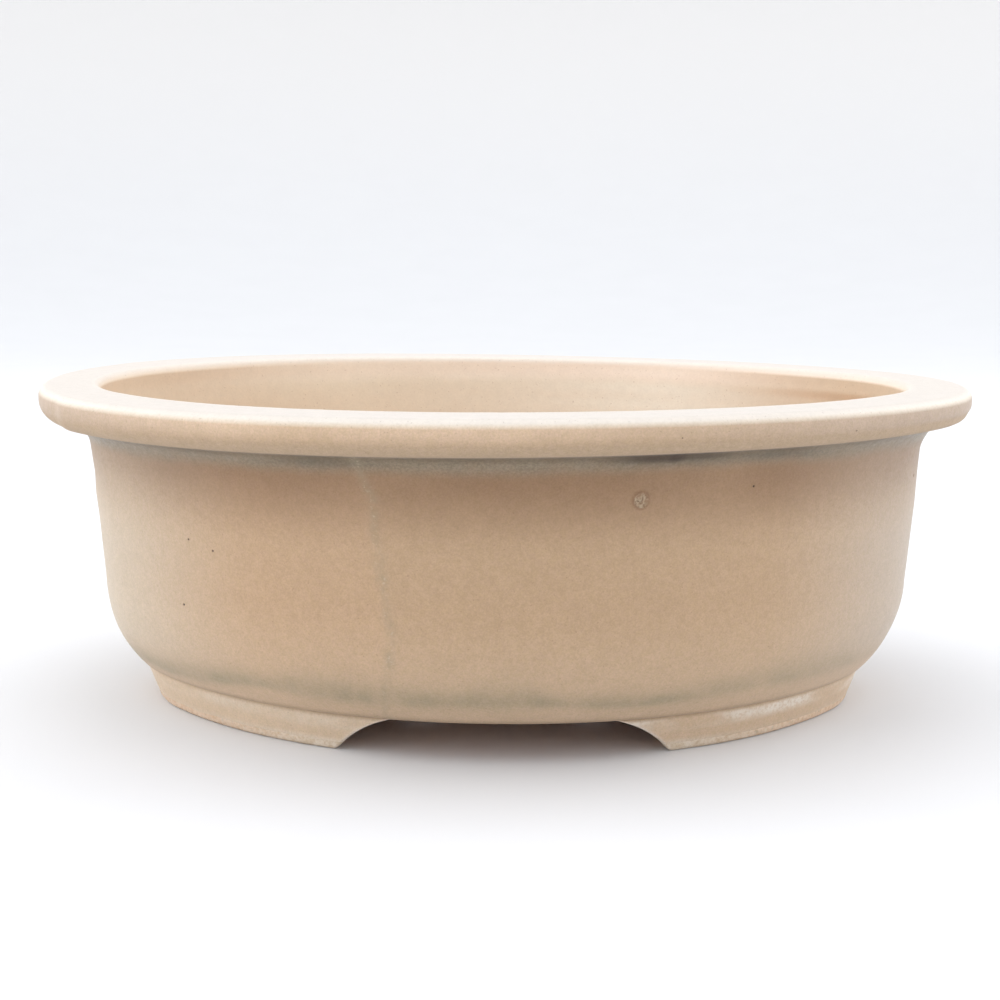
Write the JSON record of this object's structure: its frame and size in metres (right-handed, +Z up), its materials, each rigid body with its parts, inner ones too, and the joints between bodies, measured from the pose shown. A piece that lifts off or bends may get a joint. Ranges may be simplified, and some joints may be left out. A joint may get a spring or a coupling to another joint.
{
  "type": "bonsai pot",
  "caption": "Oval glazed stoneware bonsai pot with a broad flat rim, a rounded lower wall and two low feet with arched gaps between them.",
  "frame": {"origin": "on the ground, at the centre of the pot", "axes": "+Z up, +X along the pot's long axis, +Y towards its back"},
  "size_m": [0.255, 0.199, 0.0882],
  "materials": {
    "clay": "bare fired stoneware",
    "glaze": "satin matt beige glaze"
  },
  "bodies": {
    "root": {"rim": "clay", "wall": "clay", "floor": "clay", "left_foot": "clay", "right_foot": "clay", "glaze_coat": "glaze"}
  },
  "joints": []
}
